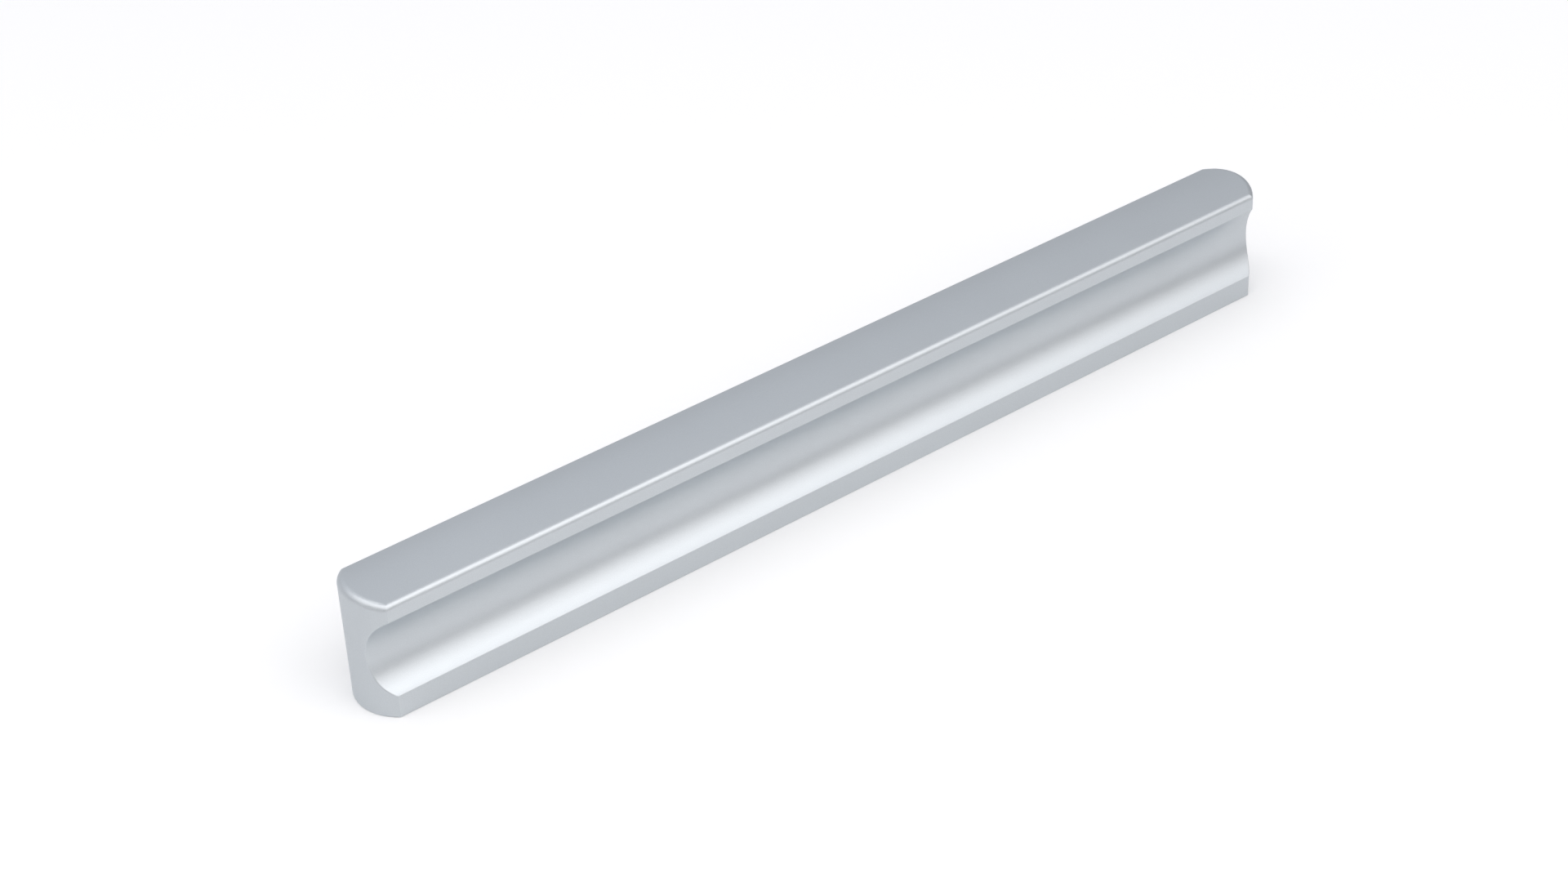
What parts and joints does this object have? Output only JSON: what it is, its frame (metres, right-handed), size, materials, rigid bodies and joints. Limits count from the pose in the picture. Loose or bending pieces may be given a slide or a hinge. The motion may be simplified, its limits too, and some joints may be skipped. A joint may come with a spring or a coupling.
{
  "type": "cabinet pull",
  "caption": "Straight solid cabinet pull with a finger groove along one long side, curved ends and two tapped holes in its mounting face.",
  "frame": {"origin": "middle of the flat mounting face, at the centre of the bar's outline", "axes": "+X along the bar, +Y from the grooved side to the plain back, +Z out of the door, from the mounting face to the outer face"},
  "size_m": [0.2, 0.0136, 0.023],
  "materials": {
    "satin_aluminium": "satin, blasted and clear anodised"
  },
  "bodies": {
    "root": {"pull_bar": "satin_aluminium"}
  },
  "joints": []
}
